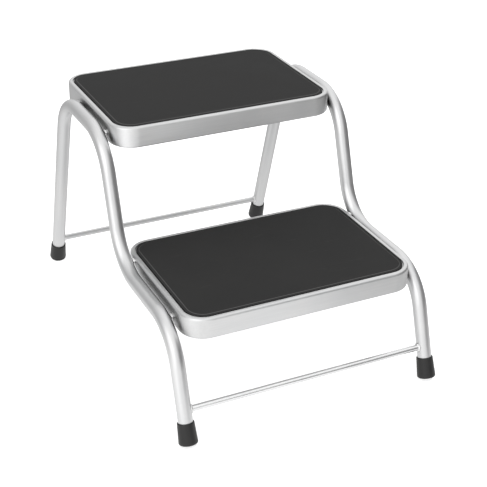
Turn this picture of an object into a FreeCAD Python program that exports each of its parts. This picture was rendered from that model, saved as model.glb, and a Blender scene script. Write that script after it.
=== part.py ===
"""Two-tread tubular steel step stool, modelled in millimetres.

Two bent side tubes carry two pressed steel tread pans with rubber mats let into their tops.
Two cross rods tie the side tubes together near the floor, and each leg stands in a rubber foot.

Frame: +Z up, +Y to the rear (the high tread), +X to the user's right when facing the stool.
Origin: on the floor, on the centre plane, midway between the front and the rear feet.
"""
import FreeCAD, Part
import math
import os

from FreeCAD import Vector

# Side tubes
tube_diameter = 22.2
tube_wall = 1.5
bend_radius = 80.0            # to the tube's centreline, the same for all four bends
leg_rake = 17.7               # degrees from upright: both legs and the riser between the treads
foot_span = 616.0             # between the points where the legs' centrelines meet the floor
lower_run_height = 167.0      # centreline of the level run beside the lower tread
upper_run_height = 357.0      # centreline of the level run beside the upper tread
lower_run_length = 204.0      # between the corners of the centreline
side_plane = 203.0            # each side tube's distance from the centre plane

# Tread pans
rise = 186.0                  # floor to lower tread, and lower tread to upper tread
tread_width = 377.0
tread_depth = 261.0
tread_corner = 38.0
tread_centres = {"lower": -149.0, "upper": 121.0}
skirt_depth = 33.0
sheet = 1.2
shoulder_radius = 4.0         # rolled edge between the rim and the skirt
rim_width = 9.0               # from the skirt's outer face to the mat
hem_width = 10.0              # skirt's bottom edge, turned inwards
hem_radius = 2.0

# Mats
mat_thickness = 3.0
adhesive_thickness = 0.3
mat_proud = 0.6
mat_gap = 1.8                 # all round, between the mat and the wall of its recess
mat_corner = 29.0
mat_edge_radius = 1.2

# Stiffeners: one hat-section channel under each tread, running from side to side
stiffener_length = 336.0
stiffener_crown = 50.0
stiffener_height = 14.0
stiffener_flange = 16.0
stiffener_sheet = 1.5

# Cross rods
rod_diameter = 10.0
front_rod_height = 51.0
rear_rod_height = 46.0
rod_weld_leg = 3.5            # how far the weld ring stands out from the rod and along it

# Tread welds: where along the tread each bead bridges the gap between skirt and tube
weld_stations = {"lower": (-220.0, -69.0), "upper": (37.0, 165.0)}
weld_length = 9.0
weld_height = 7.0
weld_rise = 3.0               # how far a bead's middle is above the tube's centreline

# Feet: ferrules cut square to the leg, so each one stands on the inner edge of its base
foot_length = 33.5            # along the leg
foot_top_diameter = 25.8
foot_base_diameter = 29.2
foot_lip_radius = 0.9
foot_base_radius = 3.0        # rounded edge between the base and the wall
foot_flat = 1.0               # how much of the base's edge is pressed flat on the floor
foot_bore_play = 0.05
leg_end = 9.5                 # the tube's cut end, along its centreline from the floor
disc_thickness = 1.5
disc_play = 0.15

tube_radius = tube_diameter / 2
rod_radius = rod_diameter / 2
skirt_face = tread_width / 2
rim_height = {"lower": rise, "upper": 2 * rise}
recess_depth = mat_thickness + adhesive_thickness - mat_proud
SIDES = {"left": -1, "right": 1}
ENDS = {"front": -1, "rear": 1}
UP = Vector(0, 0, 1)


# ---------------------------------------------------------------- basic shapes

def rounded_outline(width, depth, radius, centre_y, height):
    """Closed wire: a rectangle with round corners, level, centred on the centre plane."""
    half_w = width / 2
    half_d = depth / 2
    corners = ((1, 1), (-1, 1), (-1, -1), (1, -1))
    edges = []
    points = []
    for turn, (sx, sy) in enumerate(corners):
        centre = Vector(sx * (half_w - radius), centre_y + sy * (half_d - radius), height)
        arc = Part.makeCircle(radius, centre, UP, 90 * turn, 90 * turn + 90)
        edges.append(arc)
        points.append((arc.Vertexes[0].Point, arc.Vertexes[-1].Point))
    wire_edges = []
    for turn in range(4):
        wire_edges.append(edges[turn])
        wire_edges.append(Part.makeLine(points[turn][1], points[(turn + 1) % 4][0]))
    return Part.Wire(wire_edges)


def rounded_slab(width, depth, radius, centre_y, bottom, top):
    """Level slab with round corners in plan."""
    outline = rounded_outline(width, depth, radius, centre_y, bottom)
    return Part.Face(outline).extrude(Vector(0, 0, top - bottom))


def round_level_edges(solid, height, radius):
    """Fillet the edges that lie in the level plane at this height."""
    tolerance = 1e-4
    edges = []
    for edge in solid.Edges:
        box = edge.BoundBox
        if abs(box.ZMin - height) < tolerance and abs(box.ZMax - height) < tolerance:
            edges.append(edge)
    return solid.makeFillet(radius, edges)


def one_solid(shape):
    """The single solid of a shape that should hold just one."""
    solids = shape.Solids
    if len(solids) != 1:
        raise ValueError("expected one solid, found %d" % len(solids))
    return solids[0]


# ---------------------------------------------------------------- side tubes

def side_corners():
    """Corners (y, z) of the side tube's centreline, from the rear floor to the front floor."""
    lean = math.tan(math.radians(leg_rake))
    rear_foot = foot_span / 2
    front_foot = -foot_span / 2
    front_top = front_foot + lower_run_height * lean
    riser_foot = front_top + lower_run_length
    riser_top = riser_foot + (upper_run_height - lower_run_height) * lean
    rear_top = rear_foot - upper_run_height * lean
    return [
        (rear_foot, 0.0),
        (rear_top, upper_run_height),
        (riser_top, upper_run_height),
        (riser_foot, lower_run_height),
        (front_top, lower_run_height),
        (front_foot, 0.0),
    ]


def leg_direction(end):
    """Unit vector up the front or the rear leg."""
    rake = math.radians(leg_rake)
    return Vector(0, -ENDS[end] * math.sin(rake), math.cos(rake))


def leg_foot(side, end):
    """Where a leg's centreline meets the floor."""
    return Vector(SIDES[side] * side_plane, ENDS[end] * foot_span / 2, 0)


def side_centreline(side, start_cut):
    """Wire of straights and arcs; start_cut shortens both legs along their length."""
    x = SIDES[side] * side_plane
    points = [Vector(x, y, z) for y, z in side_corners()]
    points[0] = leg_foot(side, "rear") + leg_direction("rear") * start_cut
    points[-1] = leg_foot(side, "front") + leg_direction("front") * start_cut
    edges = []
    last = points[0]
    for index in range(1, len(points) - 1):
        corner = points[index]
        back = (points[index - 1] - corner).normalize()
        ahead = (points[index + 1] - corner).normalize()
        half_angle = back.getAngle(ahead) / 2
        tangent = bend_radius / math.tan(half_angle)
        centre_way = (back + ahead).normalize()
        centre = corner + centre_way * (bend_radius / math.sin(half_angle))
        bend_start = corner + back * tangent
        bend_end = corner + ahead * tangent
        bend_middle = centre - centre_way * bend_radius
        edges.append(Part.makeLine(last, bend_start))
        edges.append(Part.Arc(bend_start, bend_middle, bend_end).toShape())
        last = bend_end
    edges.append(Part.makeLine(last, points[-1]))
    return Part.Wire(edges)


def swept_round(side, radius, start_cut):
    """Solid round bar of this radius along the side tube's centreline."""
    path = side_centreline(side, start_cut)
    start = path.Edges[0].Vertexes[0].Point
    circle = Part.makeCircle(radius, start, leg_direction("rear"))
    return path.makePipeShell([Part.Wire([circle])], True, True)


def side_tube(side):
    outer = swept_round(side, tube_radius, leg_end)
    bore = swept_round(side, tube_radius - tube_wall, leg_end)
    return one_solid(outer.cut(bore))


# ---------------------------------------------------------------- treads

def recess_slab(level, grow, bottom, top):
    """Slab with the outline of the mat's recess, grown outwards by a distance."""
    width = tread_width - 2 * rim_width + 2 * (mat_gap + grow)
    depth = tread_depth - 2 * rim_width + 2 * (mat_gap + grow)
    radius = mat_corner + mat_gap + grow
    return rounded_slab(width, depth, radius, tread_centres[level], bottom, top)


def tread_pan(level):
    """Pressed tray: rolled shoulder, recessed top, straight skirt and a hem turned inwards."""
    rim = rim_height[level]
    centre = tread_centres[level]
    bottom = rim - skirt_depth
    clear = 1.0

    outside = rounded_slab(tread_width, tread_depth, tread_corner, centre, bottom, rim)
    outside = round_level_edges(outside, rim, shoulder_radius)
    outside = round_level_edges(outside, bottom, hem_radius)

    inner_width = tread_width - 2 * sheet
    inner_depth = tread_depth - 2 * sheet
    inner_bottom = bottom + sheet
    inner_top = rim - sheet
    inside = rounded_slab(
        inner_width, inner_depth, tread_corner - sheet, centre, inner_bottom, inner_top)
    inside = round_level_edges(inside, inner_top, shoulder_radius - sheet)
    inside = round_level_edges(inside, inner_bottom, hem_radius - sheet)
    under_recess = recess_slab(level, sheet, rim - recess_depth - sheet, rim + clear)
    inside = inside.cut(under_recess)

    mouth_width = tread_width - 2 * hem_width
    mouth_depth = tread_depth - 2 * hem_width
    mouth = rounded_slab(
        mouth_width, mouth_depth, tread_corner - hem_width, centre, bottom - clear, inner_bottom + clear)

    recess = recess_slab(level, 0.0, rim - recess_depth, rim + clear)
    return one_solid(outside.cut(recess).cut(inside).cut(mouth))


def tread_mat(level):
    rim = rim_height[level]
    top = rim + mat_proud
    mat = rounded_slab(
        tread_width - 2 * rim_width, tread_depth - 2 * rim_width, mat_corner,
        tread_centres[level], top - mat_thickness, top)
    return one_solid(round_level_edges(mat, top, mat_edge_radius))


def mat_adhesive(level):
    """Thin sheet of glue between the recess's floor and the mat, a little smaller than the mat."""
    margin = 2.0
    floor = rim_height[level] - recess_depth
    return one_solid(rounded_slab(
        tread_width - 2 * (rim_width + margin), tread_depth - 2 * (rim_width + margin),
        mat_corner - margin, tread_centres[level], floor, floor + adhesive_thickness))


def tread_stiffener(level):
    """Hat-section channel whose flanges are spot-welded to the underside of the recess."""
    top = rim_height[level] - recess_depth - sheet
    centre = tread_centres[level]
    half_crown = stiffener_crown / 2
    half_flange = half_crown + stiffener_flange
    low = top - stiffener_height
    inner_half = half_crown - stiffener_sheet
    profile = [
        (-half_flange, top),
        (-inner_half, top),
        (-inner_half, low + stiffener_sheet),
        (inner_half, low + stiffener_sheet),
        (inner_half, top),
        (half_flange, top),
        (half_flange, top - stiffener_sheet),
        (half_crown, top - stiffener_sheet),
        (half_crown, low),
        (-half_crown, low),
        (-half_crown, top - stiffener_sheet),
        (-half_flange, top - stiffener_sheet),
    ]
    start = -stiffener_length / 2
    points = [Vector(start, centre + y, z) for y, z in profile]
    face = Part.Face(Part.makePolygon(points + points[:1]))
    return one_solid(face.extrude(Vector(stiffener_length, 0, 0)))


def tread_welds(side, level):
    """Two beads that bridge the gap between the pan's skirt and the side tube."""
    sign = SIDES[side]
    tube = swept_round(side, tube_radius, leg_end)
    path = side_centreline(side, leg_end)
    reach = side_plane - skirt_face
    bead_start = min(sign * skirt_face, sign * side_plane)
    beyond_skirt = Part.makeBox(
        reach, tread_depth, skirt_depth,
        Vector(bead_start, tread_centres[level] - tread_depth / 2, rim_height[level] - skirt_depth))
    beads = []
    for station in weld_stations[level]:
        height = centreline_height(path, station, level)
        bead = Part.makeSphere(1.0)
        squash = FreeCAD.Matrix()
        squash.scale(tube_radius / 2, weld_length / 2, weld_height / 2)
        bead = bead.transformGeometry(squash)
        bead.translate(Vector(sign * (skirt_face + 1.5), station, height + weld_rise))
        beads.append(one_solid(bead.common(beyond_skirt).cut(tube)))
    return Part.Compound(beads)


def centreline_height(path, station, level):
    """Height of the tube's centreline beside a tread, at a place along the stool."""
    rim = rim_height[level]
    low = Vector(path.BoundBox.XMin, station, rim - skirt_depth - tube_radius)
    high = Vector(path.BoundBox.XMin, station, rim + tube_radius)
    probe = Part.makeLine(low, high)
    return path.distToShape(probe)[1][0][0].z


# ---------------------------------------------------------------- cross rods

def rod_axis_y(end, height):
    """Where a leg's centreline is at this height."""
    lean = math.tan(math.radians(leg_rake))
    return ENDS[end] * (foot_span / 2 - height * lean)


def rod_height(end):
    return front_rod_height if end == "front" else rear_rod_height


def rod_blank(end):
    """Round bar that runs from one side tube's centreline to the other's."""
    height = rod_height(end)
    start = Vector(-side_plane, rod_axis_y(end, height), height)
    return Part.makeCylinder(rod_radius, 2 * side_plane, start, Vector(1, 0, 0))


def cross_rod(end):
    """Bar whose ends are coped to the side tubes."""
    rod = rod_blank(end)
    for side in SIDES:
        rod = rod.cut(swept_round(side, tube_radius, leg_end))
    return one_solid(rod)


def rod_welds(end):
    """A fillet ring round each end of a cross rod."""
    height = rod_height(end)
    rings = []
    for side, sign in SIDES.items():
        toe = Vector(
            sign * (side_plane - tube_radius - rod_weld_leg), rod_axis_y(end, height), height)
        cone = Part.makeCone(
            rod_radius + 0.2, rod_radius + rod_weld_leg, 2 * rod_weld_leg, toe, Vector(sign, 0, 0))
        ring = cone.cut(rod_blank(end)).cut(swept_round(side, tube_radius, leg_end))
        rings.append(one_solid(ring))
    return Part.Compound(rings)


# ---------------------------------------------------------------- feet

def foot_base_start():
    """Distance up the leg at which a foot's base must sit for its edge to dip just under the floor."""
    rake = math.radians(leg_rake)
    edge_reach = (foot_base_diameter / 2 - foot_base_radius) * math.sin(rake)
    edge_centre = foot_base_radius - foot_flat
    return (edge_centre + edge_reach) / math.cos(rake) - foot_base_radius


def rubber_foot(side, end):
    """Tapered ferrule with a blind bore for the leg and a small flat where it stands on the floor."""
    origin = leg_foot(side, end)
    up = leg_direction(end)
    base = origin + up * foot_base_start()
    body = Part.makeCone(foot_base_diameter / 2, foot_top_diameter / 2, foot_length, base, up)
    base_edge = [edge for edge in body.Edges if abs((edge.CenterOfMass - base).dot(up)) < 1e-3]
    body = body.makeFillet(foot_base_radius, base_edge)
    lip = [edge for edge in body.Edges if abs((edge.CenterOfMass - base).dot(up) - foot_length) < 1e-3]
    body = body.makeFillet(foot_lip_radius, lip)
    room = 4 * foot_base_diameter
    above_floor = Part.makeBox(room, room, room, origin - Vector(room / 2, room / 2, 0))
    bore_floor = origin + up * (leg_end - disc_thickness)
    bore = Part.makeCylinder(tube_radius + foot_bore_play, foot_length, bore_floor, up)
    return one_solid(body.common(above_floor).cut(bore))


def foot_disc(side, end):
    """Steel disc at the bottom of the foot's bore, which stops the tube from cutting the rubber."""
    start = leg_foot(side, end) + leg_direction(end) * (leg_end - disc_thickness)
    return Part.makeCylinder(tube_radius - disc_play, disc_thickness, start, leg_direction(end))


# ---------------------------------------------------------------- the whole stool

def build_nodes():
    nodes = {}
    for side in SIDES:
        nodes[side + "_side_tube"] = side_tube(side)
    for level in tread_centres:
        nodes[level + "_tread_pan"] = tread_pan(level)
        nodes[level + "_tread_mat"] = tread_mat(level)
        nodes[level + "_mat_adhesive"] = mat_adhesive(level)
        nodes[level + "_tread_stiffener"] = tread_stiffener(level)
        for side in SIDES:
            nodes[level + "_tread_welds_" + side] = tread_welds(side, level)
    for end in ENDS:
        nodes[end + "_cross_rod"] = cross_rod(end)
        nodes[end + "_rod_welds"] = rod_welds(end)
        for side in SIDES:
            nodes[end + "_" + side + "_foot"] = rubber_foot(side, end)
            nodes[end + "_" + side + "_foot_disc"] = foot_disc(side, end)
    return nodes


def main():
    os.makedirs("parts", exist_ok=True)
    for name, shape in build_nodes().items():
        shape.exportStep("parts/" + name + ".step")


main()
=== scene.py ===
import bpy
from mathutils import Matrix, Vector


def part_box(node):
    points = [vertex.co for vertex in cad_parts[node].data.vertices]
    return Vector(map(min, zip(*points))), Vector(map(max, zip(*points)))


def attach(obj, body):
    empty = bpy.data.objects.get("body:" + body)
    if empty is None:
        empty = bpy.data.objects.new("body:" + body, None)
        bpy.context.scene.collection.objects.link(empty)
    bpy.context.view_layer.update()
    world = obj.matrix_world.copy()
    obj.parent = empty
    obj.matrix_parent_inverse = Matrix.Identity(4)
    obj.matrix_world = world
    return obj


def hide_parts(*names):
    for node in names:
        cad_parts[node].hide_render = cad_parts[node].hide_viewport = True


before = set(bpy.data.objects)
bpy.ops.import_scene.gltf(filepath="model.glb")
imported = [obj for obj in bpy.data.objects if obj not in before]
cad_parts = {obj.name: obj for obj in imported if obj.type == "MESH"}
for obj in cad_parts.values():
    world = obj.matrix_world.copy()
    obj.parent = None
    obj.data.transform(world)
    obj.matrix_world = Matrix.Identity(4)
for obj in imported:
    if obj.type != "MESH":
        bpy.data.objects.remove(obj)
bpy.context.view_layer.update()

# Two-tread tubular steel step stool: the visible pieces, their materials and a small studio.
# +Z up, +Y to the rear (the high tread), +X to the user's right, metres. Origin on the floor.

import math
import random

import bmesh
import bpy
from mathutils import Matrix, Quaternion, Vector

MM = 0.001
UP = Vector((0, 0, 1))
ACROSS = Vector((1, 0, 0))
SIDES = {"left": -1, "right": 1}
ENDS = {"front": -1, "rear": 1}
LEVELS = ("lower", "upper")
random.seed(7)

# Driving dimensions that the frame's boxes don't give
leg_rake = math.radians(17.7)
foot_span = 616 * MM              # between the points where the legs' centrelines meet the floor
lower_run_height = 167 * MM       # of the tube's centreline
lower_run_length = 204 * MM
bend_radius = 80 * MM
tube_wall = 1.5 * MM
sheet = 1.2 * MM
tread_corner = 38 * MM
shoulder_radius = 4 * MM
rim_width = 9 * MM
hem_width = 10 * MM
hem_radius = 2 * MM
mat_thickness = 3 * MM
mat_gap = 1.8 * MM
mat_proud = 0.6 * MM
mat_corner = 29 * MM
mat_edge_radius = 1.2 * MM
mat_step_start = 4.0 * MM         # in from the mat's edge, where the field starts to rise
mat_step_end = 5.3 * MM
mat_border_drop = 0.5 * MM        # from the field down to the low border
adhesive_thickness = 0.3 * MM
stiffener_sheet = 1.5 * MM
stiffener_bend = 2.0 * MM
stiffener_half_crown = 25 * MM
rod_radius = 5 * MM
foot_length = 33.5 * MM
foot_start = 2.8 * MM             # from the floor to the foot's base, along the leg
foot_base_radius = 14.6 * MM
foot_top_radius = 12.9 * MM
foot_bore_start = 8.0 * MM        # from the floor to the bottom of the bore, along the leg
leg_end = 9.5 * MM                # from the floor to the tube's cut end, along the leg
weld_stations = {"lower": (-220 * MM, -69 * MM), "upper": (37 * MM, 165 * MM)}
weld_length = 9 * MM
weld_height = 7 * MM
weld_depth = 6.5 * MM
weld_rise = 3 * MM                # from the tube's centreline up to the bead's middle

# Dimensions read from the frame
tube_low, tube_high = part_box("right_side_tube")
tube_radius = (tube_high.x - tube_low.x) / 2
side_plane = (tube_high.x + tube_low.x) / 2
upper_run_height = tube_high.z - tube_radius
pan_boxes = {level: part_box(level + "_tread_pan") for level in LEVELS}
rod_heights = {}
for end_name in ENDS:
    rod_low, rod_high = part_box(end_name + "_cross_rod")
    rod_heights[end_name] = (rod_low.z + rod_high.z) / 2
recess_depth = mat_thickness + adhesive_thickness - mat_proud


# ---------------------------------------------------------------- meshes

class Shell:
    """Points, faces and a grain coordinate for each point, built up loop by loop."""

    def __init__(self):
        self.points = []
        self.grain = []
        self.faces = []

    def loop(self, points, grain=None):
        """Adds one loop of points and returns their indices."""
        first = len(self.points)
        self.points.extend(points)
        self.grain.extend(grain or points)
        return list(range(first, first + len(points)))

    def bridge(self, one, other):
        """Quads between two closed loops of the same length."""
        count = len(one)
        for i in range(count):
            j = (i + 1) % count
            self.faces.append((one[i], one[j], other[j], other[i]))

    def bridge_all(self, loops, closed=False):
        for one, other in zip(loops, loops[1:]):
            self.bridge(one, other)
        if closed:
            self.bridge(loops[-1], loops[0])

    def skin(self, loops):
        """Bridges a row of loops and closes both ends."""
        self.bridge_all(loops)
        self.faces.append(tuple(loops[0]))
        self.faces.append(tuple(loops[-1]))

    def join(self, other, place=None):
        """Adds a copy of another shell, moved by a matrix."""
        first = len(self.points)
        move = place or Matrix.Identity(4)
        self.points.extend(move @ Vector(point) for point in other.points)
        self.grain.extend(other.grain)
        self.faces.extend(tuple(first + i for i in face) for face in other.faces)


def make_piece(node, shell, material, sharp=35.0):
    """Turns a shell into a smooth-shaded piece that stands for a CAD node.

    Edges that turn by more than the sharp angle, in degrees, are shaded as edges.
    """
    name = node + "_visual"
    mesh = bpy.data.meshes.new(name)
    mesh.from_pydata([tuple(p) for p in shell.points], [], shell.faces)
    grain = mesh.attributes.new("grain", "FLOAT_VECTOR", "POINT")
    for item, value in zip(grain.data, shell.grain):
        item.vector = value
    work = bmesh.new()
    work.from_mesh(mesh)
    bmesh.ops.recalc_face_normals(work, faces=work.faces)
    work.to_mesh(mesh)
    work.free()
    mesh.shade_smooth()
    mesh.set_sharp_from_angle(angle=math.radians(sharp))
    mesh.materials.append(material)
    piece = bpy.data.objects.new(name, mesh)
    bpy.context.scene.collection.objects.link(piece)
    normals = piece.modifiers.new("face weighted normals", "WEIGHTED_NORMAL")
    normals.keep_sharp = True
    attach(piece, "root")
    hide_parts(node)


def arc_angles(start, end, steps):
    """Angles from start to end, both included: degrees in, radians out."""
    return [math.radians(start + (end - start) * i / steps) for i in range(steps + 1)]


def rounded_rectangle(half_width, half_depth, radius, centre_y, height, steps=16, side_steps=6):
    """Level loop of points round a rectangle with round corners."""
    points = []
    reach_x = half_width - radius
    reach_y = half_depth - radius
    corners = ((1, 1, 0), (-1, 1, 90), (-1, -1, 180), (1, -1, 270))
    for side_x, side_y, turn in corners:
        centre = Vector((side_x * reach_x, centre_y + side_y * reach_y, height))
        arc = []
        for angle in arc_angles(turn, turn + 90, steps):
            arc.append(centre + radius * Vector((math.cos(angle), math.sin(angle), 0)))
        if points:
            points.extend(between(points[-1], arc[0], side_steps))
        points.extend(arc)
    points.extend(between(points[-1], points[0], side_steps))
    return points


def between(start, end, steps):
    """Points strictly between two ends."""
    return [start.lerp(end, i / steps) for i in range(1, steps)]


def rounded_path(corners, radius, arc_step=math.radians(3), straight_step=18 * MM):
    """(point, direction, distance) along a polyline whose corners are turned on arcs."""
    places = []

    def straight(start, end):
        way = (end - start).normalized()
        steps = max(1, round((end - start).length / straight_step))
        for i in range(steps + 1):
            places.append((start.lerp(end, i / steps), way))

    last = corners[0]
    for before, corner, after in zip(corners, corners[1:], corners[2:]):
        way_in = (corner - before).normalized()
        way_out = (after - corner).normalized()
        turn = way_in.angle(way_out)
        reach = radius * math.tan(turn / 2)
        arc_start = corner - way_in * reach
        straight(last, arc_start)
        axis = way_in.cross(way_out).normalized()
        centre = arc_start + axis.cross(way_in) * radius
        steps = max(2, round(turn / arc_step))
        for i in range(1, steps):
            spin = Quaternion(axis, turn * i / steps)
            places.append((centre + spin @ (arc_start - centre), spin @ way_in))
        last = corner + way_out * reach
    straight(last, corners[-1])

    path = []
    distance = 0.0
    for i, (point, way) in enumerate(places):
        if i:
            distance += (point - places[i - 1][0]).length
        path.append((point, way, distance))
    return path


def ring_round(place, radius, side_axis, count=56):
    """Points and grain of a ring square to the path at one place."""
    point, way, distance = place
    other_axis = way.cross(side_axis)
    points = []
    grain = []
    for i in range(count):
        angle = 2 * math.pi * i / count
        spoke = side_axis * math.cos(angle) + other_axis * math.sin(angle)
        points.append(point + spoke * radius)
        grain.append(Vector((math.cos(angle) * radius, math.sin(angle) * radius, distance)))
    return points, grain


# ---------------------------------------------------------------- side tubes and rods

def leg_direction(end):
    return Vector((0, -ENDS[end] * math.sin(leg_rake), math.cos(leg_rake)))


def leg_foot(side, end):
    return Vector((SIDES[side] * side_plane, ENDS[end] * foot_span / 2, 0))


def side_corners(side):
    """Corners of a side tube's centreline from the rear leg's cut end to the front leg's."""
    lean = math.tan(leg_rake)
    x = SIDES[side] * side_plane
    rear = leg_foot(side, "rear")
    front = leg_foot(side, "front")
    front_top = front.y + lower_run_height * lean
    riser_foot = front_top + lower_run_length
    riser_top = riser_foot + (upper_run_height - lower_run_height) * lean
    return [
        rear + leg_direction("rear") * leg_end,
        Vector((x, rear.y - upper_run_height * lean, upper_run_height)),
        Vector((x, riser_top, upper_run_height)),
        Vector((x, riser_foot, lower_run_height)),
        Vector((x, front_top, lower_run_height)),
        front + leg_direction("front") * leg_end,
    ]


def side_tube(side, material):
    path = rounded_path(side_corners(side), bend_radius)
    shell = Shell()
    outer = [shell.loop(*ring_round(place, tube_radius, ACROSS)) for place in path]
    inner = [shell.loop(*ring_round(place, tube_radius - tube_wall, ACROSS)) for place in path]
    shell.bridge_all(outer + inner[::-1], closed=True)
    make_piece(side + "_side_tube", shell, material)


def rod_centre(end):
    """Where the legs' centrelines cross the rod's height, on the centre plane."""
    height = rod_heights[end]
    return Vector((0, ENDS[end] * (foot_span / 2 - height * math.tan(leg_rake)), height))


def tube_reach(offset, end):
    """How far a leg's surface stands from its own centre plane, at an offset from its axis."""
    across_leg = leg_direction(end).cross(ACROSS)
    distance = offset.dot(across_leg)
    return math.sqrt(tube_radius ** 2 - distance ** 2)


def cross_rod(end, material):
    """Round bar whose ends are coped to the two legs."""
    centre = rod_centre(end)
    shell = Shell()
    count = 32
    steps = 24
    loops = []
    for step in range(steps + 1):
        share = 2 * step / steps - 1
        points = []
        grain = []
        for i in range(count):
            angle = 2 * math.pi * i / count
            spoke = Vector((0, math.cos(angle), math.sin(angle))) * rod_radius
            half_length = side_plane - tube_reach(spoke, end)
            points.append(centre + spoke + ACROSS * half_length * share)
            grain.append(Vector((spoke.y, spoke.z, half_length * share)))
        loops.append(shell.loop(points, grain))
    shell.skin(loops)
    make_piece(end + "_cross_rod", shell, material)


# ---------------------------------------------------------------- treads

def pan_profile():
    """(inset from the skirt's face, corner radius, height from the rim) round the sheet's section."""
    wall = rim_width - mat_gap
    wall_corner = mat_corner + mat_gap
    fold = 0.6 * MM
    lip = 0.8 * MM
    floor = -recess_depth
    skirt = pan_boxes["lower"][1].z - pan_boxes["lower"][0].z
    profile = [(wall + fold, wall_corner - fold, floor)]
    # fold between the recess's floor and its wall
    for angle in arc_angles(0, 90, 3):
        run = fold * (1 - math.sin(angle))
        profile.append((wall + run, wall_corner - run, floor + fold * (1 - math.cos(angle))))
    # inner and outer edges of the rim
    for angle in arc_angles(0, 90, 5):
        run = lip * (1 - math.cos(angle))
        profile.append((wall - run, wall_corner + run, -lip * (1 - math.sin(angle))))
    for angle in arc_angles(0, 90, 12):
        run = shoulder_radius * (1 - math.sin(angle))
        drop = shoulder_radius * (1 - math.cos(angle))
        profile.append((run, tread_corner - run, -drop))
    # hem turned in under the skirt
    for angle in arc_angles(0, 90, 6):
        run = hem_radius * (1 - math.cos(angle))
        drop = skirt - hem_radius * (1 - math.sin(angle))
        profile.append((run, tread_corner - run, -drop))
    profile.append((hem_width, tread_corner - hem_width, -skirt))
    profile.append((hem_width, tread_corner - hem_width, -skirt + sheet))
    # inside of the sheet, back up to the recess
    inner_hem = hem_radius - sheet
    for angle in arc_angles(90, 0, 4):
        run = sheet + inner_hem * (1 - math.cos(angle))
        drop = skirt - sheet - inner_hem * (1 - math.sin(angle))
        profile.append((run, tread_corner - run, -drop))
    inner_shoulder = shoulder_radius - sheet
    for angle in arc_angles(90, 0, 8):
        run = sheet + inner_shoulder * (1 - math.sin(angle))
        drop = sheet + inner_shoulder * (1 - math.cos(angle))
        profile.append((run, tread_corner - run, -drop))
    under_wall = wall - sheet
    profile.append((under_wall, wall_corner + sheet, -sheet))
    profile.append((under_wall, wall_corner + sheet, floor - sheet))
    return profile


def plan_of(box):
    """Half the width, half the depth and the middle of a box, seen from above."""
    low, high = box
    return (high.x - low.x) / 2, (high.y - low.y) / 2, (low.y + high.y) / 2


def tread_pan(level, material):
    """Pressed pan: recess for the mat, rolled rim, skirt and hem, all one sheet thick."""
    half_width, half_depth, centre_y = plan_of(pan_boxes[level])
    top = pan_boxes[level][1].z
    shell = Shell()
    loops = []
    for inset, radius, height in pan_profile():
        loops.append(shell.loop(rounded_rectangle(
            half_width - inset, half_depth - inset, radius, centre_y, top + height)))
    shell.skin(loops)
    make_piece(level + "_tread_pan", shell, material, sharp=50)


def tread_mat(level, material):
    """Rubber mat: side wall, rolled top edge, a low moulded border and a raised flat field."""
    low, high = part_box(level + "_tread_mat")
    half_width, half_depth, centre_y = plan_of((low, high))
    border_top = high.z - mat_border_drop
    profile = [(0.0, low.z)]
    for angle in arc_angles(0, 90, 8):
        inset = mat_edge_radius * (1 - math.cos(angle))
        drop = mat_edge_radius * (1 - math.sin(angle))
        profile.append((inset, border_top - drop))
    for angle in arc_angles(0, 180, 8):
        inset = mat_step_start + (mat_step_end - mat_step_start) * angle / math.pi
        drop = mat_border_drop * (1 + math.cos(angle)) / 2
        profile.append((inset, high.z - drop))
    shell = Shell()
    loops = []
    for inset, height in profile:
        points = rounded_rectangle(
            half_width - inset, half_depth - inset, mat_corner - inset, centre_y, height)
        loops.append(shell.loop(points, [Vector((inset, 0, 0))] * len(points)))
    shell.skin(loops)
    make_piece(level + "_tread_mat", shell, material, sharp=60)


def hat_profile(low, high):
    """Closed section, square to X, of a hat channel with bent corners that fills its box."""
    half_sheet = stiffener_sheet / 2
    half_flange = (high.y - low.y) / 2
    centre = (high.y + low.y) / 2
    web = stiffener_half_crown - half_sheet
    flange_level = high.z - half_sheet
    crown_level = low.z + half_sheet
    corners = [
        Vector((0, -half_flange, flange_level)),
        Vector((0, -web, flange_level)),
        Vector((0, -web, crown_level)),
        Vector((0, web, crown_level)),
        Vector((0, web, flange_level)),
        Vector((0, half_flange, flange_level)),
    ]
    path = rounded_path(corners, stiffener_bend, arc_step=math.radians(18), straight_step=1.6 * MM)
    top = []
    under = []
    for point, way, _ in path:
        normal = ACROSS.cross(way)
        top.append(point + normal * half_sheet)
        under.append(point - normal * half_sheet)
    return [Vector((0, centre + point.y, point.z)) for point in top + under[::-1]]


def tread_stiffener(level, material):
    """Hat channel with a row of spot-weld dimples in each flange."""
    node = level + "_tread_stiffener"
    low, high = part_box(node)
    spot_pitch = 48 * MM
    spot_radius = 3.2 * MM
    spot_depth = 0.45 * MM
    spot_inset = 8 * MM
    spot_line = (high.y - low.y) / 2 - spot_inset
    centre = (high.y + low.y) / 2
    profile = hat_profile(low, high)
    shell = Shell()
    loops = []
    row_pitch = 1.6 * MM
    steps = round((high.x - low.x) / row_pitch)
    for step in range(steps + 1):
        x = low.x + (high.x - low.x) * step / steps
        spot_x = (x / spot_pitch - round(x / spot_pitch)) * spot_pitch
        points = []
        for corner in profile:
            lift = 0.0
            distance = math.hypot(spot_x, abs(corner.y - centre) - spot_line)
            depth = high.z - corner.z
            underside = stiffener_sheet / 2 < depth < stiffener_sheet * 1.5
            if underside and distance < spot_radius:
                lift = spot_depth * (1 - (distance / spot_radius) ** 4)
            points.append(Vector((x, corner.y, corner.z + lift)))
        loops.append(shell.loop(points))
    shell.skin(loops)
    make_piece(node, shell, material, sharp=45)


# ---------------------------------------------------------------- welds

def ripple(distance, pitch, phase):
    """How far into a valley a place on a weld run lies: 0 on the crests, 1 at the bottom."""
    return 0.5 + 0.5 * math.cos(2 * math.pi * distance / pitch + phase)


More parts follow.
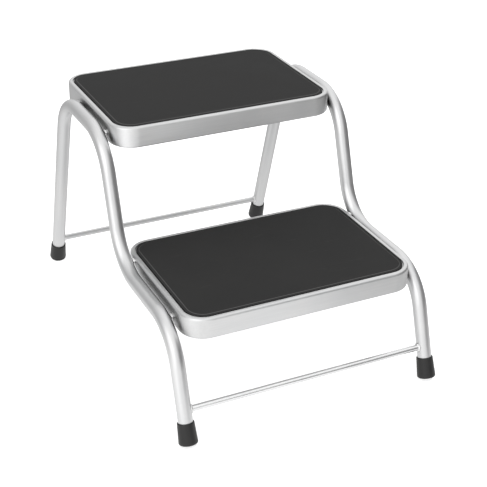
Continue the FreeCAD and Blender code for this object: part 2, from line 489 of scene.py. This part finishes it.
def side_centreline_height(side, station, level):
    """Height of a side tube's centreline at a place along the stool, beside one tread."""
    low, high = pan_boxes[level]
    best = None
    path = rounded_path(side_corners(side), bend_radius, straight_step=2 * MM)
    for point, _, _ in path:
        near_level = low.z - tube_radius < point.z < high.z + tube_radius
        if near_level and (best is None or abs(point.y - station) < abs(best.y - station)):
            best = point
    return best.z


def weld_bead(length, height, depth, phase):
    """Rounded run of weld along Y, with the overlapping ripples of each puddle."""
    shell = Shell()
    rows = 40
    count = 28
    ripple_pitch = 1.3 * MM
    ripple_share = 0.09
    drift_share = 0.04
    drift_turn = 9.0                  # radians of wander from the middle to an end
    loops = []
    for row in range(1, rows):
        share = -math.cos(math.pi * row / rows)
        y = share * length / 2
        envelope = (1 - share ** 4) ** 0.5
        swell = envelope * (1 - ripple_share * ripple(y, ripple_pitch, phase))
        drift = drift_share * height * math.sin(drift_turn * share + phase)
        points = []
        for i in range(count):
            angle = 2 * math.pi * i / count
            x = math.cos(angle) * depth / 2 * swell
            z = math.sin(angle) * height / 2 * swell + drift
            points.append(Vector((x, y, z)))
        loops.append(shell.loop(points))
    shell.skin(loops)
    return shell


def tread_welds(side, level, material):
    """Two beads in the gap between a pan's skirt and a side tube."""
    sign = SIDES[side]
    gap_middle = (pan_boxes[level][1].x + side_plane - tube_radius) / 2
    shell = Shell()
    for station in weld_stations[level]:
        height = side_centreline_height(side, station, level)
        bead = weld_bead(weld_length, weld_height, weld_depth, random.uniform(0, 6))
        shell.join(bead, Matrix.Translation((sign * gap_middle, station, height + weld_rise)))
    make_piece(level + "_tread_welds_" + side, shell, material, sharp=75)


def rod_weld_ring(side, end):
    """Rippled ring of weld where a rod's end meets a leg."""
    sign = SIDES[side]
    centre = rod_centre(end)
    shell = Shell()
    count = 72
    section = 12
    bead_radius = 1.9 * MM
    bead_lift = 0.3 * MM              # off the rod's surface
    bead_sink = 0.4 * MM              # along the rod, clear of the leg's surface
    ripple_count = 14
    ripple_share = 0.1
    loops = []
    for i in range(count):
        angle = 2 * math.pi * i / count
        spoke = Vector((0, math.cos(angle), math.sin(angle)))
        at_leg = side_plane - tube_reach(spoke * rod_radius, end) - bead_sink
        middle = centre + spoke * (rod_radius + bead_lift) + ACROSS * sign * at_leg
        ripples = math.cos(ripple_count * angle + sign)
        swell = bead_radius * (1 - ripple_share + ripple_share * ripples)
        points = []
        for j in range(section):
            turn = 2 * math.pi * j / section
            points.append(middle + (spoke * math.cos(turn) + ACROSS * math.sin(turn)) * swell)
        loops.append(shell.loop(points))
    shell.bridge_all(loops, closed=True)
    return shell


def rod_welds(end, material):
    shell = Shell()
    for side in SIDES:
        shell.join(rod_weld_ring(side, end))
    make_piece(end + "_rod_welds", shell, material, sharp=75)


# ---------------------------------------------------------------- feet

def foot_profile():
    """(radius, distance up the leg) from the middle of the sole round to the bore's floor."""
    base_edge = 3.0 * MM
    lip_edge = 0.9 * MM
    groove_count = 4
    groove_pitch = 2.4 * MM
    groove_half_width = 0.5 * MM
    groove_depth = 0.5 * MM
    bore_radius = tube_radius + 0.05 * MM
    bore_edge = 0.5 * MM
    top = foot_start + foot_length
    profile = []
    for groove in range(1, groove_count + 1):
        for share in (-1, -0.5, 0, 0.5, 1):
            radius = groove * groove_pitch + share * groove_half_width
            profile.append((radius, foot_start + groove_depth * (1 - share ** 2)))
    taper = (foot_top_radius - foot_base_radius) / foot_length
    edge_radius = foot_base_radius + taper * base_edge
    for angle in arc_angles(0, 90, 8):
        profile.append((
            edge_radius - base_edge * (1 - math.sin(angle)),
            foot_start + base_edge * (1 - math.cos(angle))))
    wall_start = foot_start + base_edge
    wall_end = top - lip_edge
    steps = 10
    for step in range(1, steps + 1):
        up = wall_start + (wall_end - wall_start) * step / steps
        profile.append((foot_base_radius + taper * (up - foot_start), up))
    for angle in arc_angles(0, 90, 5)[1:]:
        radius = foot_top_radius - lip_edge * (1 - math.cos(angle))
        profile.append((radius, wall_end + lip_edge * math.sin(angle)))
    profile.append((bore_radius + bore_edge, top))
    profile.append((bore_radius, top - bore_edge))
    profile.append((bore_radius, foot_bore_start))
    return profile


def rubber_foot(side, end, material):
    """Moulded ferrule with rings in its sole, pressed flat where it stands on the floor."""
    up = leg_direction(end)
    origin = leg_foot(side, end)
    other = up.cross(ACROSS)
    count = 64
    shell = Shell()
    loops = []
    for radius, distance in foot_profile():
        points = []
        grain = []
        for i in range(count):
            angle = 2 * math.pi * i / count
            spoke = ACROSS * math.cos(angle) + other * math.sin(angle)
            point = origin + up * distance + spoke * radius
            point.z = max(point.z, 0.0)
            points.append(point)
            grain.append(Vector((math.cos(angle) * radius, math.sin(angle) * radius, distance)))
        loops.append(shell.loop(points, grain))
    shell.skin(loops)
    make_piece(end + "_" + side + "_foot", shell, material, sharp=50)


# ---------------------------------------------------------------- material nodes

class Graph:
    """Adds shader nodes to a tree; a socket is linked, and a plain value is set."""

    def __init__(self, tree):
        self.tree = tree
        tree.nodes.clear()

    def node(self, kind, inputs=None, **settings):
        made = self.tree.nodes.new(kind)
        for name, value in settings.items():
            setattr(made, name, value)
        for key, value in (inputs or {}).items():
            if isinstance(value, bpy.types.NodeSocket):
                self.tree.links.new(value, made.inputs[key])
            else:
                made.inputs[key].default_value = value
        return made

    def maths(self, operation, *values):
        made = self.node("ShaderNodeMath", dict(enumerate(values)), operation=operation)
        return made.outputs[0]

    def span(self, value, low, high, to_low=0.0, to_high=1.0):
        """Smooth ramp of a value from one range to another."""
        made = self.node("ShaderNodeMapRange", {
            "Value": value, "From Min": low, "From Max": high, "To Min": to_low, "To Max": to_high,
        }, interpolation_type="SMOOTHSTEP")
        return made.outputs[0]

    def mix(self, share, one, other):
        """Colour between two colours; 0, 6 and 7 are the mix node's sockets for colours."""
        made = self.node("ShaderNodeMix", {0: share, 6: one, 7: other}, data_type="RGBA")
        return made.outputs[2]

    def tint(self, tone, colour, mask, strength):
        """Moves a tone part of the way to a colour, where a mask is 1."""
        return self.mix(self.maths("MULTIPLY", mask, strength), tone, colour)

    def dot(self, one, other):
        made = self.node("ShaderNodeVectorMath", {0: one, 1: other}, operation="DOT_PRODUCT")
        return made.outputs["Value"]

    def noise(self, coordinate, scale, detail=3.0, roughness=0.5):
        made = self.node("ShaderNodeTexNoise", {
            "Vector": coordinate, "Scale": scale, "Detail": detail, "Roughness": roughness})
        return made.outputs[0]

    def stretch(self, coordinate, scales):
        made = self.node("ShaderNodeVectorMath", {0: coordinate, 1: scales}, operation="MULTIPLY")
        return made.outputs[0]

    def bump(self, height, strength, distance, normal=None):
        inputs = {"Height": height, "Strength": strength, "Distance": distance}
        if normal is not None:
            inputs["Normal"] = normal
        return self.node("ShaderNodeBump", inputs).outputs[0]

    def surroundings(self, group, direction):
        """How bright the studio is in a direction."""
        return self.node("ShaderNodeGroup", {0: direction}, node_tree=group).outputs[0]

    def crevice(self, reach, shut=0.25, clear=0.60):
        """1 where the open share of the space within reach is below shut, 0 where it is above clear."""
        open_share = self.node("ShaderNodeAmbientOcclusion", {"Distance": reach}, samples=8)
        return self.span(open_share.outputs["AO"], shut, clear, to_low=1.0, to_high=0.0)

    def tight_edge(self, radius):
        """1 on edges tighter than the radius, 0 on flat ground."""
        rounded = self.node("ShaderNodeBevel", {"Radius": radius}, samples=4).outputs[0]
        plain = self.node("ShaderNodeNewGeometry").outputs["Normal"]
        flat_cosine = 0.995
        edge_cosine = 0.93
        return self.span(self.dot(rounded, plain), flat_cosine, edge_cosine)


def new_material(name):
    material = bpy.data.materials.new(name)
    material.use_nodes = True
    return material, Graph(material.node_tree)


def finish_material(graph, inputs):
    shader = graph.node("ShaderNodeBsdfPrincipled", inputs)
    graph.node("ShaderNodeOutputMaterial", {"Surface": shader.outputs[0]})


def grey(value, warmth=0.0):
    return (value + warmth, value, value - warmth, 1.0)


def object_place(graph):
    return graph.node("ShaderNodeTexCoord").outputs["Object"]


def grain_place(graph):
    """The coordinate that a shell carries: along and round a tube, or in from a mat's edge."""
    return graph.node("ShaderNodeAttribute", attribute_name="grain").outputs["Vector"]


def satin_metal(name, brightness, roughness, streaks, gap_shade, use_grain=True):
    """Satin steel: cloudy tone, drawn streaks, faint scratches, polished edges and painted shade in
    slots.

    Streaks are counted per metre along three axes, of the grain or of the object. The gap shade,
    painted shade in slots, is how far it looks for neighbours and the open shares at which it is full
    and gone.
    """
    material, graph = new_material(name)
    place = object_place(graph)
    along = grain_place(graph) if use_grain else place
    cloud = graph.noise(place, scale=14.0, detail=4.0, roughness=0.6)
    streak = graph.noise(graph.stretch(along, streaks), scale=1.0, detail=3.0, roughness=0.6)
    grain = graph.noise(place, scale=1500.0, detail=2.0)
    scratch_counts = (90.0, 700.0, 130.0)
    scratch_field = graph.noise(graph.stretch(place, scratch_counts), scale=1.0, detail=2.0)
    scratch = graph.span(scratch_field, 0.70, 0.76)

    dull = grey(brightness * 0.955, -0.004)
    clean = grey(brightness * 1.02, 0.001)
    streaked = grey(brightness * 0.9, -0.003)
    polished = grey(min(1.0, brightness * 1.12))
    gap_shade_tone = grey(0.02, 0.001)
    tone = graph.mix(graph.span(cloud, 0.3, 0.7), dull, clean)
    tone = graph.mix(graph.span(streak, 0.35, 0.65, to_high=0.3), tone, streaked)
    tone = graph.tint(tone, polished, graph.tight_edge(1.2 * MM), strength=0.5)
    # painted shade: the base colour goes nearly black where nearby parts close in, along the slots
    # between the tubes, skirts and rods
    tone = graph.tint(tone, gap_shade_tone, graph.crevice(*gap_shade), strength=0.97)

    rough = graph.span(cloud, 0.25, 0.75, to_low=roughness * 0.88, to_high=roughness * 1.12)
    rough = graph.maths("ADD", rough, graph.span(streak, 0.3, 0.7, to_low=-0.02, to_high=0.03))
    rough = graph.maths("SUBTRACT", rough, graph.maths("MULTIPLY", scratch, 0.05))
    normal = graph.bump(streak, strength=0.10, distance=0.05 * MM)
    normal = graph.bump(grain, strength=0.10, distance=0.03 * MM, normal=normal)
    unscratched = graph.maths("SUBTRACT", 1.0, scratch)
    normal = graph.bump(unscratched, strength=0.12, distance=0.02 * MM, normal=normal)
    finish_material(graph, {
        "Base Color": tone, "Metallic": 1.0, "Roughness": rough, "Normal": normal})
    return material


def weld_material():
    """Silvered weld: uneven tone, darker pits and a fine rough skin."""
    material, graph = new_material("weld_metal")
    place = object_place(graph)
    skin = graph.noise(place, scale=900.0, detail=4.0, roughness=0.6)
    cloud = graph.noise(place, scale=160.0)
    pits = grey(0.5, 0.01)
    tone = graph.mix(graph.span(cloud, 0.35, 0.65), grey(0.88), grey(0.97))
    tone = graph.mix(graph.span(skin, 0.35, 0.6, to_low=0.35, to_high=0.0), tone, pits)
    finish_material(graph, {
        "Base Color": tone, "Metallic": 1.0,
        "Roughness": graph.span(skin, 0.3, 0.7, to_low=0.20, to_high=0.36),
        "Normal": graph.bump(skin, strength=0.35, distance=0.15 * MM)})
    return material


def mat_step_mask(graph):
    """1 on the slope between a mat's low border and its raised field."""
    inset = graph.node("ShaderNodeSeparateXYZ", {0: grain_place(graph)}).outputs[0]
    rising = graph.span(inset, mat_step_start - 0.2 * MM, mat_step_start + 0.4 * MM)
    risen = graph.span(inset, mat_step_end - 0.6 * MM, mat_step_end - 0.1 * MM)
    return graph.maths("SUBTRACT", rising, risen)


def mat_material():
    """Matt rubber sheet: fine leathery grain, faint clouds, scuffs, a painted highlight on the step and
    the edge, and painted shade in the gap.
    """
    material, graph = new_material("mat_rubber")
    place = object_place(graph)
    cells = graph.node("ShaderNodeTexVoronoi", {"Vector": place, "Scale": 850.0, "Randomness": 1.0})
    pebble = graph.span(cells.outputs["Distance"], 0.0, 0.75, to_low=1.0, to_high=0.0)
    fine = graph.noise(place, scale=2600.0, detail=2.0)
    cloud = graph.noise(place, scale=9.0, detail=4.0, roughness=0.62)
    scuff_counts = (25.0, 140.0, 25.0)
    scuff_field = graph.noise(graph.stretch(place, scuff_counts), scale=1.0, detail=5.0, roughness=0.7)
    scuff = graph.span(scuff_field, 0.60, 0.78)

    tone = graph.mix(graph.span(cloud, 0.3, 0.7), grey(0.029), grey(0.034, 0.0003))
    tone = graph.mix(graph.span(pebble, 0.2, 0.9, to_high=0.25), tone, grey(0.032))
    tone = graph.tint(tone, grey(0.07, 0.002), scuff, strength=0.18)
    # painted highlight: the rolled top edge is made lighter, standing in for the light it catches
    tone = graph.tint(tone, grey(0.09), graph.tight_edge(0.9 * MM), strength=0.6)
    # painted highlight: the moulded step is made lighter, standing in for the light it catches
    tone = graph.tint(tone, grey(0.12, 0.001), mat_step_mask(graph), strength=0.8)
    # painted shade: nearly black in the gap between the mat and the rim's wall
    tone = graph.mix(graph.crevice(5 * MM), tone, grey(0.004))

    rough = graph.span(cloud, 0.3, 0.7, to_low=0.60, to_high=0.72)
    rough = graph.maths("SUBTRACT", rough, graph.maths("MULTIPLY", scuff, 0.08))
    normal = graph.bump(pebble, strength=0.35, distance=0.12 * MM)
    normal = graph.bump(fine, strength=0.2, distance=0.05 * MM, normal=normal)
    finish_material(graph, {
        "Base Color": tone, "Roughness": rough, "Specular IOR Level": 0.05, "Normal": normal})
    return material


def foot_material():
    """Moulded black rubber: faint flow lines, a scuffed base, dust near the floor and painted shade
    where the floor and the tube close in.
    """
    material, graph = new_material("foot_rubber")
    place = object_place(graph)
    height = graph.node("ShaderNodeSeparateXYZ", {0: place}).outputs[2]
    cloud = graph.noise(place, scale=70.0, detail=4.0, roughness=0.6)
    fine = graph.noise(place, scale=1800.0)
    flow_counts = (60.0, 60.0, 900.0)
    flow = graph.noise(graph.stretch(grain_place(graph), flow_counts), scale=1.0, detail=2.0)
    low_down = graph.span(height, 12 * MM, 1 * MM)
    dust = graph.maths("MULTIPLY", low_down, graph.span(cloud, 0.35, 0.65))
    foot_contact_shade = graph.crevice(14 * MM)

    tone = graph.mix(graph.span(cloud, 0.3, 0.7), grey(0.007, 0.0002), grey(0.011, 0.0003))
    tone = graph.mix(graph.span(fine, 0.45, 0.7, to_high=0.3), tone, grey(0.02, 0.0005))
    tone = graph.tint(tone, grey(0.10, 0.004), dust, strength=0.25)
    tone = graph.tint(tone, grey(0.09, 0.002), graph.tight_edge(1.2 * MM), strength=0.25)
    # painted shade: nearly black where the floor and the tube close in round the foot
    tone = graph.mix(foot_contact_shade, tone, grey(0.004))

    # the painted shade also takes the rubber's sheen away there
    shine = graph.maths("MULTIPLY", graph.maths("SUBTRACT", 1.0, foot_contact_shade), 0.5)
    normal = graph.bump(flow, strength=0.15, distance=0.08 * MM)
    normal = graph.bump(fine, strength=0.25, distance=0.08 * MM, normal=normal)
    finish_material(graph, {
        "Base Color": tone, "Roughness": graph.span(cloud, 0.3, 0.7, to_low=0.36, to_high=0.48),
        "Specular IOR Level": shine, "Normal": normal})
    return material


def adhesive_material():
    """Dull amber film of contact adhesive, brushed on unevenly."""
    material, graph = new_material("adhesive")
    place = object_place(graph)
    brush_counts = (30.0, 400.0, 30.0)
    brushed = graph.noise(graph.stretch(place, brush_counts), scale=1.0, detail=4.0, roughness=0.6)
    blot = graph.noise(place, scale=60.0, detail=4.0, roughness=0.6)
    thin = (0.66, 0.56, 0.36, 1.0)
    thick = (0.52, 0.42, 0.24, 1.0)
    pooled = (0.42, 0.33, 0.18, 1.0)
    tone = graph.mix(graph.span(brushed, 0.3, 0.7), thin, thick)
    tone = graph.mix(graph.span(blot, 0.5, 0.75, to_high=0.5), tone, pooled)
    finish_material(graph, {
        "Base Color": tone, "Roughness": graph.span(blot, 0.3, 0.7, to_low=0.35, to_high=0.6),
        "Normal": graph.bump(brushed, strength=0.4, distance=0.1 * MM)})
    return material


def disc_material():
    """Plain stamped steel: grey, faintly turned, with a little oil staining."""
    material, graph = new_material("disc_steel")
    place = object_place(graph)
    stain = graph.noise(place, scale=220.0, detail=4.0, roughness=0.6)
    turned_counts = (2500.0, 300.0, 300.0)
    turned = graph.noise(graph.stretch(place, turned_counts), scale=1.0, detail=2.0)
    tone = graph.mix(graph.span(stain, 0.35, 0.7), grey(0.55), grey(0.36, 0.01))
    finish_material(graph, {
        "Base Color": tone, "Metallic": 1.0,
        "Roughness": graph.span(stain, 0.3, 0.7, to_low=0.3, to_high=0.5),
        "Normal": graph.bump(turned, strength=0.2, distance=0.05 * MM)})
    return material


def recolour_node(node, material):
    """Gives a CAD node a material in place of the plain ones it came with."""
    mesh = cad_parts[node].data
    mesh.materials.clear()
    mesh.materials.append(material)


# ---------------------------------------------------------------- studio

def heading(bearing, elevation=0.0):
    """Unit vector; bearing 0 is straight out in front and 90 to the right, both angles in degrees."""
    turn = math.radians(bearing)
    rise = math.radians(elevation)
    level = math.cos(rise)
    return Vector((math.sin(turn) * level, -math.cos(turn) * level, math.sin(rise)))


def studio_group():
    """Node group: how bright the studio's surroundings are in a direction."""
    group = bpy.data.node_groups.new("studio surroundings", "ShaderNodeTree")
    group.interface.new_socket("Direction", in_out="INPUT", socket_type="NodeSocketVector")
    group.interface.new_socket("Brightness", in_out="OUTPUT", socket_type="NodeSocketFloat")
    graph = Graph(group)
    way = graph.node("NodeGroupInput").outputs[0]

    def facing(direction, edge, full, change):
        """Light added round a direction, or taken away; edge and full are cosines off it."""
        return graph.span(graph.dot(way, direction), edge, full, to_high=change)

    walls = 0.96
    ceiling = facing(UP, edge=0.0, full=0.90, change=0.16)
    window = facing(heading(-62, 28), edge=0.75, full=1.0, change=0.96)
    dark_wall = facing(heading(66), edge=0.64, full=0.70, change=-0.73)
    dark_corner = facing(heading(-124), edge=0.0, full=1.0, change=-0.44)
    total = walls
    for patch in (ceiling, window, dark_wall, dark_corner):
        total = graph.maths("ADD", total, patch)
    graph.node("NodeGroupOutput", {0: total})
    return group


def studio_world(group):
    """Pale room for the camera, and soft surroundings of uneven brightness for the lighting."""
    world = bpy.data.worlds.new("studio")
    world.use_nodes = True
    graph = Graph(world.node_tree)
    direction = graph.node("ShaderNodeTexCoord").outputs["Generated"]
    around = graph.surroundings(group, direction)
    seen = graph.node("ShaderNodeLightPath").outputs["Is Camera Ray"]
    room = graph.node("ShaderNodeBackground", {"Color": grey(1.0), "Strength": around})
    pale = graph.node("ShaderNodeBackground", {"Color": grey(1.0), "Strength": 1.0})
    mixed = graph.node("ShaderNodeMixShader", {0: seen, 1: room.outputs[0], 2: pale.outputs[0]})
    graph.node("ShaderNodeOutputWorld", {"Surface": mixed.outputs[0]})
    bpy.context.scene.world = world


def floor_material(group):
    """Pale matt floor; to the metal it glows, with a painted shadow under and behind the stool.

    Far away it looks to the metal like the foot of the walls.
    """
    material, graph = new_material("studio_floor")
    ground = graph.node("ShaderNodeNewGeometry").outputs["Position"]
    distance = graph.node("ShaderNodeVectorMath", {0: ground}, operation="LENGTH").outputs["Value"]
    bearing = graph.node("ShaderNodeVectorMath", {0: ground}, operation="NORMALIZE").outputs[0]

    wall_foot = 1.32
    # painted shadow: the glow that the metal sees is darkest under the middle of the stool
    near = graph.span(distance, 0.05, 0.40, to_low=0.66, to_high=1.07)
    far = graph.maths("MULTIPLY", graph.surroundings(group, bearing), wall_foot)
    away = graph.span(distance, 0.10, 1.30)
    mirrored = graph.node("ShaderNodeMix", {0: away, 2: near, 3: far}, data_type="FLOAT").outputs[0]
    shadow = graph.span(graph.dot(bearing, heading(150)), 0.30, 1.0, to_high=0.45)
    shadow = graph.maths("MULTIPLY", shadow, graph.span(distance, 0.15, 0.60))
    mirrored = graph.maths("SUBTRACT", mirrored, shadow)
    # the floor glows for glossy rays in place of being lit, carrying the painted shadow
    shown = graph.node("ShaderNodeEmission", {"Color": grey(1.0), "Strength": mirrored})

    paleness = 0.80
    camera_glow = 0.7
    ray = graph.node("ShaderNodeLightPath").outputs
    matt = graph.node("ShaderNodeBsdfDiffuse", {"Color": grey(paleness)})
    glow = graph.node("ShaderNodeEmission", {
        "Color": grey(1.0), "Strength": graph.maths("MULTIPLY", ray["Is Camera Ray"], camera_glow)})
    pale = graph.node("ShaderNodeAddShader", {0: matt.outputs[0], 1: glow.outputs[0]})
    mixed = graph.node("ShaderNodeMixShader", {
        0: ray["Is Glossy Ray"], 1: pale.outputs[0], 2: shown.outputs[0]})
    graph.node("ShaderNodeOutputMaterial", {"Surface": mixed.outputs[0]})
    return material


def studio_floor(group):
    """One wide square at floor level."""
    half_width = 6.0
    mesh = bpy.data.meshes.new("studio_floor")
    corners = [(x * half_width, y * half_width, 0) for x, y in ((-1, -1), (1, -1), (1, 1), (-1, 1))]
    mesh.from_pydata(corners, [], [(0, 1, 2, 3)])
    mesh.materials.append(floor_material(group))
    floor = bpy.data.objects.new("studio_floor", mesh)
    bpy.context.scene.collection.objects.link(floor)


def overhead_light():
    """Wide soft lamp above the stool."""
    place = Vector((-0.3, 0.1, 2.6))
    target = Vector((0.0, 0.0, 0.2))
    light = bpy.data.lights.new("overhead", "AREA")
    light.shape = "SQUARE"
    light.size = 2.4
    light.energy = 8.0
    lamp = bpy.data.objects.new("overhead", light)
    lamp.location = place
    lamp.visible_glossy = False       # its reflection is already in the surroundings
    lamp.rotation_euler = (target - place).to_track_quat("-Z", "Y").to_euler()
    bpy.context.scene.collection.objects.link(lamp)


def studio_camera():
    """Long lens, above and to the left of the low front."""
    place = Vector((-0.7355, -1.5881, 1.0799))
    bearing = math.radians(25.72)
    tilt = math.radians(-28.371)
    roll = math.radians(0.616)
    data = bpy.data.cameras.new("camera")
    data.sensor_width = 36.0
    data.lens = 88.64
    camera = bpy.data.objects.new("camera", data)
    turn = Matrix.Rotation(-bearing, 4, "Z") @ Matrix.Rotation(math.pi / 2 + tilt, 4, "X")
    camera.matrix_world = Matrix.Translation(place) @ turn @ Matrix.Rotation(roll, 4, "Z")
    bpy.context.scene.collection.objects.link(camera)
    bpy.context.scene.camera = camera


# ---------------------------------------------------------------- the scene

def build_stool():
    drawn = (420.0, 420.0, 9.0)
    rolled = (12.0, 500.0, 500.0)
    # painted shade in the slots: how far each looks for neighbours, and the open shares at which it is
    # full and gone
    tube_gap_shade = (16 * MM, 0.35, 0.72)
    tread_gap_shade = (8 * MM, 0.20, 0.32)
    rod_gap_shade = (8 * MM, 0.20, 0.50)
    satin = 0.38
    frame_metal = satin_metal("frame_metal", 0.74, satin, drawn, tube_gap_shade)
    tread_metal = satin_metal("tread_metal", 0.70, satin, rolled, tread_gap_shade, use_grain=False)
    # lit and shaded copies of one rod steel: the front rod paler and glossier as a painted highlight,
    # the rear rod darker as painted shade
    rod_metals = {
        "front": satin_metal("front_rod_metal_lit", 0.88, 0.22, drawn, rod_gap_shade),
        "rear": satin_metal("rear_rod_metal_shaded", 0.70, 0.36, drawn, rod_gap_shade),
    }
    weld_metal = weld_material()
    mat_rubber = mat_material()
    foot_rubber = foot_material()
    adhesive = adhesive_material()
    disc_steel = disc_material()
    for side in SIDES:
        side_tube(side, frame_metal)
    for level in LEVELS:
        tread_pan(level, tread_metal)
        tread_mat(level, mat_rubber)
        tread_stiffener(level, tread_metal)
        recolour_node(level + "_mat_adhesive", adhesive)
        for side in SIDES:
            tread_welds(side, level, weld_metal)
    for end in ENDS:
        cross_rod(end, rod_metals[end])
        rod_welds(end, weld_metal)
        for side in SIDES:
            rubber_foot(side, end, foot_rubber)
            recolour_node(end + "_" + side + "_foot_disc", disc_steel)


def build_studio():
    group = studio_group()
    studio_world(group)
    studio_floor(group)
    overhead_light()
    studio_camera()
    bpy.context.scene.view_settings.view_transform = "Standard"


build_stool()
build_studio()
